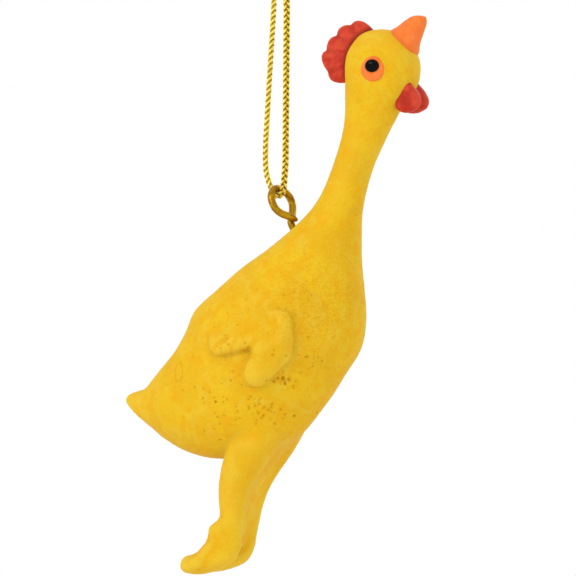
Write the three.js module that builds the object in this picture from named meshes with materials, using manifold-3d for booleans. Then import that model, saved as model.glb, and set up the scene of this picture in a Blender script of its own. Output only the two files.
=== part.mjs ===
// A hanging ornament in the shape of a plucked rubber chicken: a stiff painted casting, a brass
// screw eye in its back, and a loop of gold cord closed by a knot.
//
// Millimetres, +Z up. The figure faces +X and its right side is -Y. The origin is the underside of
// the cord's knot, where the ornament is held; everything else hangs below it.

import * as THREE from 'three';
import { mergeVertices } from 'three/addons/utils/BufferGeometryUtils.js';
import Module from 'manifold-3d';

const wasm = await Module();
wasm.setup();

// ---------------------------------------------------------------- driving dimensions

const GAP = 0.3; // clearance between neighbouring pieces
const THROUGH = 4; // how far a cutter reaches past the skin that it opens
const LAP = 0.5; // how far two shapes run into each other where they join
const SIDES = { body: 22, leg: 14, trim: 12 }; // facets round a lofted section
const FACETS = { dome: 20, wire: 10, shank: 10, ridge: 4, hole: 12, knot: 12 }; // round a turned one
const STEPS = { body: 2, leg: 2, trim: 2 }; // rings between two stations

const HEAD = { x: 20.7, z: -22.3 }; // middle of the head, in the sagittal plane
const EYE = {
  y: 5.75, // how far the eye's seat lies from the sagittal plane
  ring: { x: 20.8, z: -23.2, radius: 2.3, crown: 0.75, seat: 0.9 },
  pupil: { x: 20.55, z: -22.7, radius: 1.27, crown: 0.65, seat: 0.55 },
};
const COMB = { thickness: 1.9, bevel: 0.35 };
const WING = { proud: 1.5, root: 1.0, reach: 20 }; // relief height, depth of its seat
const SCREW = {
  wire: 1.4, // wire diameter
  ring: 2.75, // centreline radius of the eye
  neck: 4.1, // from the eye's middle down to where the wire crosses itself
  tilt: THREE.MathUtils.degToRad(24.5), // the shank leans back from vertical
  turn: THREE.MathUtils.degToRad(20), // the eye is turned about its shank
  crossing: 1.45, // how far the wire's free end passes beside the shank
  collar: 5.85, // from the eye's middle down to the top of the thread
  thread: { length: 7.5, core: 0.55, ridge: 0.18, pitch: 1.0, taper: 1.3, perTurn: 7 },
  steps: 40, // rings along the bent wire
  contact: { x: -0.2, z: -45.1 }, // middle of the wire where the cord bears on it
};
const CORD = { diameter: 1.25, steps: 80, sides: 8 };
const KNOT = { width: 3.4, height: 3.2, neck: 0.4, tail: 5.5 };

// ---------------------------------------------------------------- outlines

// A station is [back x, back z, front x, front z, half width, lateral y]: an elliptical section
// whose ends lie on the figure's back and front outlines.
const BODY = [
  [20.6, -15.5, 20.6, -15.5, 0],
  [18.7, -15.8, 22.6, -15.8, 2.1],
  [16.8, -16.5, 24.7, -17.0, 3.9],
  [15.3, -18.0, 26.2, -18.5, 5.1],
  [14.1, -19.9, 27.4, -20.3, 5.9],
  [13.6, -22.1, 27.9, -22.3, 6.2],
  [13.6, -24.8, 27.7, -25.1, 6.1],
  [13.6, -27.2, 26.6, -27.7, 5.6],
  [13.6, -29.6, 24.4, -30.2, 4.9],
  [13.5, -31.9, 23.0, -32.6, 4.4],
  [12.9, -35.3, 21.2, -36.0, 4.0],
  [11.8, -39.0, 19.4, -39.9, 3.7],
  [10.3, -43.2, 17.8, -44.2, 3.8],
  [8.1, -47.5, 16.7, -48.7, 4.5],
  [4.6, -51.4, 16.3, -53.4, 5.9],
  [-0.7, -55.8, 16.2, -58.6, 8.2],
  [-6.6, -59.9, 16.7, -64.2, 10.4],
  [-11.8, -64.2, 17.0, -69.8, 12.0],
  [-16.1, -68.1, 16.0, -75.2, 12.9],
  [-17.7, -71.6, 12.6, -80.5, 13.0],
  [-19.7, -75.0, 9.0, -85.8, 12.4],
  [-22.2, -78.0, 3.9, -91.8, 11.2],
  [-24.7, -80.9, -4.2, -95.1, 9.4],
  [-26.5, -82.7, -12.5, -96.1, 7.0],
  [-28.1, -83.2, -19.3, -94.4, 4.6],
  [-29.4, -83.6, -24.5, -90.7, 2.7],
  [-30.3, -84.2, -28.9, -87.3, 1.5],
  [-30.8, -85.1, -30.8, -85.1, 0],
];

const BEAK = [
  [23.9, -19.4, 23.9, -19.4, 0],
  [22.1, -17.0, 26.5, -20.8, 2.4],
  [22.4, -15.9, 27.5, -20.4, 2.9],
  [23.9, -15.0, 27.9, -18.9, 2.7],
  [25.2, -14.0, 28.3, -17.5, 2.3],
  [26.6, -13.3, 28.8, -16.1, 1.8],
  [28.1, -13.1, 29.3, -14.7, 1.3],
  [29.3, -13.4, 29.3, -13.4, 0],
];

const WATTLE = [
  [26.5, -25.3, 26.5, -25.3, 0, 2.2],
  [25.6, -26.3, 27.6, -26.4, 1.0, 2.2],
  [24.6, -27.7, 28.6, -27.6, 1.5, 2.2],
  [24.1, -29.2, 29.1, -29.0, 1.6, 2.2],
  [24.1, -30.4, 28.6, -30.3, 1.3, 2.2],
  [25.0, -31.1, 27.2, -31.1, 0.6, 2.2],
  [26.1, -31.3, 26.1, -31.3, 0, 2.2],
];

const LEG = [
  [-1.0, -87.6, -1.0, -87.6, 0, 5.6],
  [-5.0, -89.5, 3.7, -90.4, 3.4, 5.6],
  [-7.3, -92.3, 2.2, -93.3, 3.8, 5.6],
  [-8.6, -95.3, -0.1, -96.2, 3.5, 5.4],
  [-9.4, -98.5, -2.4, -99.4, 2.9, 5.2],
  [-9.9, -101.5, -4.0, -102.3, 2.5, 5.0],
  [-10.0, -104.1, -4.8, -104.8, 2.3, 4.7],
  [-10.0, -106.6, -5.3, -107.4, 2.3, 4.3],
  [-12.1, -108.8, -5.7, -110.0, 2.4, 3.9],
  [-12.9, -111.3, -6.2, -112.7, 2.4, 3.8],
  [-14.5, -113.3, -7.5, -115.1, 2.6, 3.8],
  [-15.8, -113.8, -11.0, -116.8, 2.7, 3.8],
  [-17.2, -114.2, -14.3, -117.5, 2.5, 3.8],
  [-18.0, -115.4, -16.4, -117.3, 1.6, 3.8],
  [-18.0, -116.7, -18.0, -116.7, 0, 3.8],
];

// Comb lobes from the forehead to the nape: [control x, control z, notch x, notch z].
const COMB_START = [19.0, -15.8];
const COMB_LOBES = [
  [16.2, -12.6, 14.5, -14.7],
  [12.0, -14.4, 11.7, -16.6],
  [9.8, -16.9, 9.7, -19.3],
  [7.6, -20.3, 10.0, -23.4],
  [10.1, -25.7, 13.2, -25.5],
];
const COMB_ROOT = { radius: 5.9, from: 204, to: 110 }; // arc inside the head, in degrees

// Wing outline, from the shoulder round the two lobes and back.
const WING_OUTLINE = [
  [-0.1, -69.0],
  [5.9, -67.3],
  [7.3, -69.9],
  [7.5, -73.9],
  [6.5, -75.9],
  [1.9, -81.2],
  [-0.3, -81.8],
  [-2.3, -80.2],
  [-1.0, -75.6],
  [-6.4, -76.1],
  [-8.6, -75.0],
  [-9.2, -73.9],
  [-5.6, -69.8],
];

// The cord's two strands in their own plane, from the knot down: [across, z].
const STRAND_BACK = [
  [-0.68, -0.3],
  [-0.68, -1.6],
  [-0.75, -4.5],
  [-1.0, -9.8],
  [-1.4, -15.5],
  [-1.85, -21.0],
  [-2.3, -26.7],
  [-2.7, -32.2],
  [-3.0, -36.5],
  [-3.05, -40.0],
  [-2.7, -42.6],
];
const STRAND_FRONT = [
  [0.68, -0.3],
  [0.72, -1.6],
  [1.2, -4.5],
  [2.15, -9.8],
  [2.2, -15.5],
  [2.15, -21.0],
  [2.1, -26.7],
  [2.05, -32.2],
  [2.0, -36.5],
  [1.95, -40.0],
  [1.75, -42.6],
];

// ---------------------------------------------------------------- solids

// Turn vertices and triangles, wound either way, into an outward-facing closed geometry.
function closedGeometry(points, triangles) {
  const triple = ([a, b, c]) => points[a].dot(points[b].clone().cross(points[c]));
  const outward = triangles.reduce((sum, triangle) => sum + triple(triangle), 0) > 0;
  const geometry = new THREE.BufferGeometry().setFromPoints(points);
  geometry.setIndex(triangles.flatMap(([a, b, c]) => (outward ? [a, b, c] : [a, c, b])));
  return geometry;
}

function toSolid(geometry) {
  const bare = geometry.clone();
  bare.deleteAttribute('normal');
  bare.deleteAttribute('uv');
  const merged = mergeVertices(bare, 1e-4);
  return new wasm.Manifold(
    new wasm.Mesh({
      numProp: 3,
      vertProperties: new Float32Array(merged.attributes.position.array),
      triVerts: new Uint32Array(merged.index.array),
    }),
  );
}

function toGeometry(solid) {
  const mesh = solid.getMesh();
  const geometry = new THREE.BufferGeometry();
  geometry.setAttribute('position', new THREE.BufferAttribute(mesh.vertProperties, 3));
  geometry.setIndex(new THREE.BufferAttribute(mesh.triVerts, 1));
  return geometry;
}

// A closed loft through elliptical sections; its first and last stations are its two poles.
// grow pushes the whole surface out, or in when it is negative; side is +1 for left, -1 for right.
function loft(stations, { sides, steps, grow = 0, side = 1 }) {
  const curve = (pick) => new THREE.CatmullRomCurve3(stations.map(pick));
  const backs = curve(([x, z]) => new THREE.Vector3(x, 0, z));
  const fronts = curve(([, , x, z]) => new THREE.Vector3(x, 0, z));
  const widths = curve(([, , , , half, y = 0]) => new THREE.Vector3(half, y * side, 0));
  const rings = (stations.length - 1) * steps;
  const points = [];
  for (let ring = 1; ring < rings; ring += 1) {
    const back = backs.getPoint(ring / rings);
    const front = fronts.getPoint(ring / rings);
    const width = widths.getPoint(ring / rings);
    const middle = back.clone().lerp(front, 0.5).setY(width.y);
    const depth = front.clone().sub(back).multiplyScalar(0.5);
    depth.setLength(depth.length() + grow);
    for (let i = 0; i < sides; i += 1) {
      const angle = (2 * Math.PI * i) / sides;
      const point = middle.clone().addScaledVector(depth, Math.cos(angle));
      points.push(point.setY(middle.y + (width.x + grow) * Math.sin(angle)));
    }
  }
  const middleOf = (start) =>
    points
      .slice(start, start + sides)
      .reduce((sum, point) => sum.add(point), new THREE.Vector3())
      .divideScalar(sides);
  const pole = (station, neighbour) => {
    const tip = new THREE.Vector3(station[0], (station[5] ?? 0) * side, station[1]);
    return tip.addScaledVector(tip.clone().sub(neighbour).normalize(), grow);
  };
  const last = points.length - sides;
  const top = points.length;
  points.push(pole(stations[0], middleOf(0)), pole(stations[stations.length - 1], middleOf(last)));
  const triangles = [];
  for (let i = 0; i < sides; i += 1) {
    const next = (i + 1) % sides;
    triangles.push([top, i, next], [top + 1, last + next, last + i]);
    for (let row = 0; row < last; row += sides) {
      const below = row + sides;
      triangles.push([row + i, below + i, below + next], [row + i, below + next, row + next]);
    }
  }
  return toSolid(closedGeometry(points, triangles));
}

// A plate whose outline lies in the sagittal plane, thick in y and centred on y = middle.
// Its edges are chamfered by bevel, and grow makes its outline larger all round.
function plate(shape, thickness, middle, { bevel = 0.01, grow = 0 }) {
  const geometry = new THREE.ExtrudeGeometry(shape, {
    depth: thickness - 2 * bevel,
    bevelThickness: bevel,
    bevelSize: bevel,
    bevelOffset: grow - bevel,
    bevelSegments: 1,
    curveSegments: 5,
  });
  geometry.translate(0, 0, bevel - thickness / 2);
  geometry.rotateX(Math.PI / 2);
  geometry.translate(0, middle, 0);
  return toSolid(geometry);
}

function turned(profile, segments) {
  return new THREE.LatheGeometry(profile.map(([r, h]) => new THREE.Vector2(r, h)), segments);
}

function tube(path, diameter, steps, sides) {
  const section = new THREE.Shape();
  for (let i = 0; i < sides; i += 1) {
    const angle = (2 * Math.PI * i) / sides;
    const [x, y] = [Math.cos(angle) * diameter * 0.5, Math.sin(angle) * diameter * 0.5];
    if (i === 0) section.moveTo(x, y);
    else section.lineTo(x, y);
  }
  section.closePath();
  return new THREE.ExtrudeGeometry(section, { steps, extrudePath: path, bevelEnabled: false });
}

// Stand a solid of revolution, made along +Y, with its axis along a direction and its foot at a point.
function stood(geometry, foot, direction) {
  geometry.applyQuaternion(new THREE.Quaternion().setFromUnitVectors(new THREE.Vector3(0, 1, 0), direction));
  return geometry.translate(foot.x, foot.y, foot.z);
}

// ---------------------------------------------------------------- head trim

function combShape() {
  const shape = new THREE.Shape();
  shape.moveTo(...COMB_START);
  COMB_LOBES.forEach(([cx, cz, x, z]) => shape.quadraticCurveTo(cx, cz, x, z));
  const { radius, from, to } = COMB_ROOT;
  const [start, end] = [from, to].map(THREE.MathUtils.degToRad);
  shape.absarc(HEAD.x, HEAD.z, radius, start, end, true);
  shape.closePath();
  return shape;
}

function makeComb() {
  return plate(combShape(), COMB.thickness, 0, { bevel: COMB.bevel });
}

function combSlot() {
  return plate(combShape(), COMB.thickness + 2 * GAP, 0, { grow: GAP });
}

// The eye's orange disc is a low dome; the pupil is a higher, smaller dome seated in it.
function dome({ radius, crown, seat }, grow = 0) {
  const rim = radius + grow;
  const foot = -seat - grow;
  return turned(
    [
      [0, foot],
      [rim, foot],
      [rim, 0],
      [rim * 0.86, crown * 0.5],
      [rim * 0.5, crown * 0.87],
      [0, crown],
    ],
    FACETS.dome,
  );
}

function onHead(geometry, { x, z }, side) {
  return stood(geometry, new THREE.Vector3(x, side * EYE.y, z), new THREE.Vector3(0, side, 0));
}

// A well straight out of the head, wide enough for a seat and open to the outside.
function well({ radius, seat }) {
  return turned(
    [
      [0, -seat - GAP],
      [radius + GAP, -seat - GAP],
      [radius + GAP, THROUGH],
      [0, THROUGH],
    ],
    FACETS.dome,
  );
}

function makeEyeRing(side) {
  const seat = toSolid(onHead(well(EYE.pupil), EYE.pupil, side));
  return toSolid(onHead(dome(EYE.ring), EYE.ring, side)).subtract(seat);
}

function makePupil(side) {
  return toSolid(onHead(dome(EYE.pupil), EYE.pupil, side));
}

// ---------------------------------------------------------------- wings

function wingShape() {
  const shape = new THREE.Shape();
  shape.setFromPoints(WING_OUTLINE.map(([x, z]) => new THREE.Vector2(x, z)));
  return shape;
}

// A wing follows the torso: a plug cut out of the torso's own loft, grown outwards.
function makeWing(side) {
  const { proud, root, reach } = WING;
  return plate(wingShape(), reach, (side * reach) / 2, {})
    .intersect(torso(proud))
    .subtract(torso(-root));
}

function wingSeat(side) {
  const { root, reach } = WING;
  return plate(wingShape(), reach, (side * reach) / 2, { grow: GAP }).subtract(torso(-root - GAP));
}

// ---------------------------------------------------------------- casting

function torso(grow = 0) {
  return loft(BODY, { sides: SIDES.body, steps: STEPS.body, grow });
}

function makeLeg(side, grow = 0) {
  return loft(LEG, { sides: SIDES.leg, steps: STEPS.leg, side, grow });
}

function makeBeak(grow = 0) {
  return loft(BEAK, { sides: SIDES.trim, steps: STEPS.trim, grow });
}

function makeWattle(side, grow = 0) {
  return loft(WATTLE, { sides: SIDES.trim, steps: STEPS.trim, side, grow });
}

function makeBody() {
  const cuts = [combSlot(), makeBeak(GAP), pilotHole()];
  [-1, 1].forEach((side) => {
    cuts.push(makeWattle(side, GAP), makeLeg(side, GAP), wingSeat(side));
    cuts.push(toSolid(onHead(well(EYE.ring), EYE.ring, side)));
  });
  return cuts.reduce((solid, cut) => solid.subtract(cut), torso());
}

// ---------------------------------------------------------------- screw eye

// The eye's own axes: along the shank (up), across the eye in its plane, and out of its plane.
function screwFrame() {
  const { tilt, turn, contact, ring } = SCREW;
  const up = new THREE.Vector3(-Math.sin(tilt), 0, Math.cos(tilt));
  const level = new THREE.Vector3(Math.cos(tilt), 0, Math.sin(tilt));
  const lateral = new THREE.Vector3(0, 1, 0);
  const across = lateral.clone().multiplyScalar(Math.cos(turn)).addScaledVector(level, Math.sin(turn));
  const out = level.clone().multiplyScalar(Math.cos(turn)).addScaledVector(lateral, -Math.sin(turn));
  const steepest = new THREE.Vector3(0, 0, 1).projectOnPlane(out).normalize();
  const bearing = new THREE.Vector3(contact.x, ring * steepest.y, contact.z);
  const middle = bearing.clone().addScaledVector(steepest, -ring);
  return { up, across, out, bearing, middle };
}

const EYE_FRAME = screwFrame();

function inEye(across, up, out = 0) {
  const frame = EYE_FRAME;
  return frame.middle
    .clone()
    .addScaledVector(frame.across, across)
    .addScaledVector(frame.up, up)
    .addScaledVector(frame.out, out);
}

// Up from the shank, round the eye, and down past the shank's front to the wire's free end.
function eyePath() {
  const { ring, neck, crossing, collar } = SCREW;
  const points = [inEye(0, -collar - 0.4), inEye(0, -collar + 0.4)];
  points.push(inEye(0.1, -neck - 0.1), inEye(ring * 0.5, -neck + 1.3));
  for (let degrees = -20; degrees <= 200; degrees += 20) {
    const angle = THREE.MathUtils.degToRad(degrees);
    points.push(inEye(ring * Math.cos(angle), ring * Math.sin(angle)));
  }
  points.push(inEye(ring * -0.74, -neck + 1.9, crossing * 0.25));
  points.push(inEye(ring * -0.42, -neck + 0.8, crossing * 0.75));
  points.push(inEye(-0.3, -neck, crossing), inEye(0.1, -neck - 0.3, crossing));
  return new THREE.CatmullRomCurve3(points);
}

// The shank below the collar: a pointed core with a rolled thread.
function screwThread() {
  const { wire, thread } = SCREW;
  const { core, length, taper, pitch, ridge, perTurn } = thread;
  const shank = turned(
    [
      [0, 0],
      [core, taper],
      [core, length],
      [wire / 2, length],
      [wire / 2, length + LAP],
      [0, length + LAP],
    ],
    FACETS.shank,
  );
  const steps = Math.floor(((length - taper - 0.4) / pitch) * perTurn);
  const helix = Array.from({ length: steps + 1 }, (_, i) => {
    const angle = (2 * Math.PI * i) / perTurn;
    return new THREE.Vector3(core * Math.cos(angle), taper + (pitch * i) / perTurn, core * Math.sin(angle));
  });
  const rolled = tube(new THREE.CatmullRomCurve3(helix), ridge * 2, steps, FACETS.ridge);
  return toSolid(shank).add(toSolid(rolled));
}

function makeScrewEye() {
  const { wire, collar, thread, steps } = SCREW;
  const eye = toSolid(tube(eyePath(), wire, steps, FACETS.wire));
  const shank = stood(toGeometry(screwThread()), inEye(0, -collar - thread.length), EYE_FRAME.up);
  return eye.add(toSolid(shank));
}

function pilotHole() {
  const { collar, thread } = SCREW;
  const radius = thread.core + thread.ridge + GAP;
  const depth = thread.length + LAP;
  const hole = turned(
    [
      [0, 0],
      [radius, thread.taper],
      [radius, depth + THROUGH],
      [0, depth + THROUGH],
    ],
    FACETS.hole,
  );
  return toSolid(stood(hole, inEye(0, -collar - depth), EYE_FRAME.up));
}

// ---------------------------------------------------------------- cord and knot

// The cord's plane is upright and square to the wire it hangs on.
function cordPath() {
  const { bearing, out } = EYE_FRAME;
  const across = new THREE.Vector3(out.x, out.y, 0).normalize();
  const place = ([s, z]) => {
    const drop = Math.min(1, -z / -bearing.z);
    return new THREE.Vector3(bearing.x * drop + across.x * s, bearing.y * drop + across.y * s, z);
  };
  const radius = SCREW.wire / 2 + GAP + CORD.diameter / 2;
  const bend = [200, 235, 270, 305, 340].map((degrees) => {
    const angle = THREE.MathUtils.degToRad(degrees);
    return place([radius * Math.cos(angle), bearing.z + radius * Math.sin(angle)]);
  });
  return new THREE.CatmullRomCurve3([
    ...STRAND_BACK.map(place),
    ...bend,
    ...STRAND_FRONT.map(place).reverse(),
  ]);
}

function makeCord() {
  return toSolid(tube(cordPath(), CORD.diameter, CORD.steps, CORD.sides));
}

// The knot: a squat ball of cord on top of the strands, with its two tails gathered above it.
function makeKnot() {
  const { width, height, neck, tail } = KNOT;
  const profile = [
    [0, 0],
    [width * 0.32, 0],
    [width * 0.5, height * 0.35],
    [width * 0.47, height * 0.7],
    [width * 0.3, height],
    [CORD.diameter, height + neck],
    [CORD.diameter, height + tail],
    [0, height + tail],
  ];
  return toSolid(stood(turned(profile, FACETS.knot), new THREE.Vector3(), new THREE.Vector3(0, 0, 1)));
}

// ---------------------------------------------------------------- assembly

const PAINT = {
  yellow: { color: 0xe8b42a, roughness: 0.62 },
  red: { color: 0xcb4435, roughness: 0.5 },
  orange: { color: 0xf6823c, roughness: 0.5 },
  black: { color: 0x1c1b18, roughness: 0.12 },
  brass: { color: 0xa87820, roughness: 0.35, metalness: 1 },
  gold: { color: 0xcfa83c, roughness: 0.4, metalness: 0.8 },
};

const group = new THREE.Group();
group.name = 'chicken_ornament';

function addPart(name, solid, paint) {
  const mesh = new THREE.Mesh(toGeometry(solid), new THREE.MeshStandardMaterial(PAINT[paint]));
  mesh.name = name;
  group.add(mesh);
}

addPart('body_casting', makeBody(), 'yellow');
addPart('comb', makeComb(), 'red');
addPart('beak', makeBeak(), 'orange');
[['right', -1], ['left', 1]].forEach(([name, side]) => {
  addPart(`wattle_${name}`, makeWattle(side), 'red');
  addPart(`eye_ring_${name}`, makeEyeRing(side), 'orange');
  addPart(`pupil_${name}`, makePupil(side), 'black');
  addPart(`wing_${name}`, makeWing(side), 'yellow');
  addPart(`leg_${name}`, makeLeg(side), 'yellow');
});
addPart('screw_eye', makeScrewEye(), 'brass');
addPart('hanging_cord', makeCord(), 'gold');
addPart('cord_knot', makeKnot(), 'gold');

export default group;
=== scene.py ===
"""Looks of the hanging rubber-chicken ornament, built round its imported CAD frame.

Shapes are worked out in millimetres in the row frame and turned into metres when a piece is
placed. The figure faces +X, its right side is -Y, and the origin is the underside of the knot.
"""

import math
from contextlib import contextmanager

import bmesh
import bpy
import numpy as np
from mathutils import Matrix, Vector, noise
from mathutils.bvhtree import BVHTree
from mathutils.kdtree import KDTree


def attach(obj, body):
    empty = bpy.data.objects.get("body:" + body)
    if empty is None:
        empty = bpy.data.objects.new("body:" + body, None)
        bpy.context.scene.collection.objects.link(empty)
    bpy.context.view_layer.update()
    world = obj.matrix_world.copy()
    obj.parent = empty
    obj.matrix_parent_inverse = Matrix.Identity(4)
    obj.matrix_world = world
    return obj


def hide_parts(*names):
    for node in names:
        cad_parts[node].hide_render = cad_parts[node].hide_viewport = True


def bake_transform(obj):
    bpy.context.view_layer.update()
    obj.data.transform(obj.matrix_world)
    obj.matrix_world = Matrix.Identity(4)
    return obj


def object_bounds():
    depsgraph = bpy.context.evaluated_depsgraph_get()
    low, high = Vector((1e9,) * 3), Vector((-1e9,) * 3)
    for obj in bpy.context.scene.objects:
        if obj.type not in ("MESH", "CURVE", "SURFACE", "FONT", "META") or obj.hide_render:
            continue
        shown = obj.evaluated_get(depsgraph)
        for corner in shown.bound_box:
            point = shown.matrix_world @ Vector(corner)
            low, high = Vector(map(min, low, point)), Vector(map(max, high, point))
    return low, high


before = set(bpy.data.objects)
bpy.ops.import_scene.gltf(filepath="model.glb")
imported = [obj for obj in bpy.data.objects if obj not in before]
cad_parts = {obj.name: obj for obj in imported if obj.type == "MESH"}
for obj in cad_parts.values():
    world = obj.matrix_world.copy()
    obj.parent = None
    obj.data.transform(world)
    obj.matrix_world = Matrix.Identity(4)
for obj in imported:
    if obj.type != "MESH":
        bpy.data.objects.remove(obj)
cad_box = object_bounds()

MM = 0.001
RIGHT, LEFT = -1, 1

# -------- driving values

# The camera, in degrees and metres: field is the width that it sees at its distance, and it aims
# across and up from the origin.
VIEW = {"azimuth": 20, "distance": 1.0, "field": 0.108, "across": 0.001875, "up": -0.06375}
STAGE = {"radius": 0.4, "clear": 0.03, "sides": 128}  # a round floor, clear of the figure
# The lamps, aimed at the middle of the part: (name, place, size, power).
LAMPS = [
    ("key", (-0.38, -0.76, 0.42), 0.4, 3.2),
    ("fill", (0.75, -0.5, -0.05), 0.6, 0.7),
    ("back", (0.3, 0.8, 0.4), 0.6, 1.6),
]

HEAD = (20.7, -22.3)  # middle of the head, in the sagittal plane
EYE = {
    "plane": 5.75,  # how far the eye lies from the sagittal plane; its seat goes in below that
    "ring": {"x": 20.8, "z": -23.2, "across": 2.28, "up": 2.36, "crown": 0.8, "lift": 0.0, "seat": 0.9},
    "pupil": {"x": 20.85, "z": -22.65, "across": 1.37, "up": 1.24, "crown": 0.7, "lift": 0.6, "seat": 1.1},
    "socket": {"radius": 3.0, "width": 0.65, "depth": 0.3},  # the dip round the eye
}
SCREW = {
    "wire": 1.4,
    "ring": 2.75,  # radius of the wire's middle line in the eye
    "neck": 4.1,  # from the eye's middle down to where the wire crosses itself
    "crossing": 1.45,  # how far the free end lies beside the shank there
    "collar": 5.85,  # from the eye's middle down to the end of the bare wire
    "tilt": 24.5,  # the shank's lean in the sagittal plane, in degrees
    "turn": 20,  # the eye's turn about its shank, in degrees
    "end": 1.7,  # length of the free end's taper
    "worn": 0.8,  # part of the wire's section that the taper takes away
}
THREAD = {"length": 7.5, "point": 0.08, "core": 0.55, "ridge": 0.18, "pitch": 1.0, "taper": 1.3, "fade": 0.3}
CONTACT = (-0.2, -45.1)  # x and z of the wire's middle where the cord bears on it
CORD = {
    "diameter": 1.25,
    "plait": 3.27,  # the plait's repeat along the cord
    "slack": 0.05,  # between the cord and the wire that it hangs in
    "strand": 0.48,  # a strand's radius, as a part of the cord's radius
    "wide": 0.58,  # its sway across the braid, and through it, in the same measure
    "deep": 0.36,
    "roll": 45,  # the flat side's turn, in degrees
    "gathered": 0.35,  # how much of its sway a strand keeps at a cut end
}

# The casting's outlines. A station is (back x, back z, front x, front z, half width, lateral y).
BODY = [
    (20.6, -15.5, 20.6, -15.5, 0, 0),
    (18.7, -15.8, 22.6, -15.8, 2.1, 0),
    (16.8, -16.5, 24.7, -17.0, 3.9, 0),
    (15.3, -18.0, 26.2, -18.5, 5.1, 0),
    (14.1, -19.9, 27.4, -20.3, 5.9, 0),
    (13.6, -22.1, 27.9, -22.3, 6.2, 0),
    (13.6, -24.8, 27.7, -25.1, 6.1, 0),
    (13.6, -27.2, 26.6, -27.7, 5.6, 0),
    (13.6, -29.6, 24.4, -30.2, 4.9, 0),
    (13.5, -31.9, 23.0, -32.6, 4.4, 0),
    (12.9, -35.3, 21.2, -36.0, 4.0, 0),
    (11.8, -39.0, 19.4, -39.9, 3.7, 0),
    (10.3, -43.2, 17.8, -44.2, 3.8, 0),
    (8.1, -47.5, 16.7, -48.7, 4.5, 0),
    (4.6, -51.4, 16.3, -53.4, 5.9, 0),
    (-0.7, -55.8, 16.2, -58.6, 8.2, 0),
    (-6.6, -59.9, 16.7, -64.2, 10.4, 0),
    (-11.8, -64.2, 17.0, -69.8, 12.0, 0),
    (-16.1, -68.1, 16.0, -75.2, 12.9, 0),
    (-17.7, -71.6, 12.6, -80.5, 13.0, 0),
    (-19.7, -75.0, 9.0, -85.8, 12.4, 0),
    (-22.2, -78.0, 3.9, -91.8, 11.2, 0),
    (-24.7, -80.9, -4.2, -95.1, 9.4, 0),
    (-26.5, -82.7, -12.5, -96.1, 7.0, 0),
    (-28.1, -83.2, -19.3, -94.4, 4.6, 0),
    (-29.4, -83.6, -24.5, -90.7, 2.7, 0),
    (-30.3, -84.2, -28.9, -87.3, 1.5, 0),
    (-30.8, -85.1, -30.8, -85.1, 0, 0),
]
LEG = [
    (-1.0, -87.6, -1.0, -87.6, 0, 5.6),
    (-5.0, -89.5, 3.7, -90.4, 3.4, 5.6),
    (-7.3, -92.3, 2.2, -93.3, 3.8, 5.6),
    (-8.6, -95.3, -0.1, -96.2, 3.5, 5.4),
    (-9.4, -98.5, -2.4, -99.4, 2.9, 5.2),
    (-9.9, -101.5, -4.0, -102.3, 2.5, 5.0),
    (-10.0, -104.1, -4.8, -104.8, 2.3, 4.7),
    (-10.0, -106.6, -5.3, -107.4, 2.3, 4.3),
    (-12.1, -108.8, -5.7, -110.0, 2.4, 3.9),
    (-12.9, -111.3, -6.2, -112.7, 2.4, 3.8),
    (-14.5, -113.3, -7.5, -115.1, 2.6, 3.8),
    (-15.8, -113.8, -11.0, -116.8, 2.7, 3.8),
    (-17.2, -114.2, -14.3, -117.5, 2.5, 3.8),
    (-18.0, -115.4, -16.4, -117.3, 1.6, 3.8),
    (-18.0, -116.7, -18.0, -116.7, 0, 3.8),
]
BEAK = [
    (23.9, -19.4, 23.9, -19.4, 0, 0),
    (22.1, -17.0, 26.5, -20.8, 2.4, 0),
    (22.4, -15.9, 27.5, -20.4, 2.9, 0),
    (23.9, -15.0, 27.9, -18.9, 2.7, 0),
    (25.2, -14.0, 28.3, -17.5, 2.3, 0),
    (26.6, -13.3, 28.8, -16.1, 1.8, 0),
    (28.1, -13.1, 29.3, -14.7, 1.3, 0),
    (29.3, -13.4, 29.3, -13.4, 0, 0),
]
WATTLE = [
    (26.5, -25.3, 26.5, -25.3, 0, 2.2),
    (25.6, -26.3, 27.6, -26.4, 1.0, 2.2),
    (24.6, -27.7, 28.6, -27.6, 1.5, 2.2),
    (24.1, -29.2, 29.1, -29.0, 1.6, 2.2),
    (24.1, -30.4, 28.6, -30.3, 1.3, 2.2),
    (25.0, -31.1, 27.2, -31.1, 0.6, 2.2),
    (26.1, -31.3, 26.1, -31.3, 0, 2.2),
]

COMB_NOTCHES = [(14.5, -14.7), (11.7, -16.6), (9.7, -19.3), (10.0, -23.4)]
COMB = {"voxel": 0.13, "relax": 6, "rim": 6.4, "root": 6.9}  # rim and root: distances from HEAD
BEAK_ROOT = 6.6  # how far from HEAD the beak comes out of the face
WATTLE_FACE = {"x": 26.5, "z": -28.9, "across": 2.4, "up": 2.7, "y": 2.2, "chin": -26.3}

# A wing's outline on the flank, from the shoulder round the front finger, the crotch and the hand.
WING_OUTLINE = [
    (0.0, -69.0), (3.1, -67.8), (5.6, -67.8), (6.9, -68.8), (7.4, -71.4), (7.3, -74.6),
    (6.7, -76.5), (4.4, -79.0), (1.5, -81.6), (-0.5, -82.0), (-1.8, -81.0), (-2.1, -79.6),
    (-1.5, -77.7), (-0.6, -75.9), (-0.9, -75.3), (-3.3, -75.7), (-6.1, -76.3), (-8.3, -76.1),
    (-9.2, -74.2), (-9.3, -72.2), (-8.0, -70.7), (-4.2, -69.2),
]
WING = {
    "proud": 2.15,
    "round": 2.6,  # width of its rounded edge
    "flush": ((-10.0, -71.0), (1.2, -69.6)),  # the line at the shoulder where it lies flush
    "least": 0.12,  # how proud it still is there
    "ramp": 5.4,  # how far from that line it stands fully proud
    "flank": 6,  # the skin nearer to the sagittal plane than this is left alone
}
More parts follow.
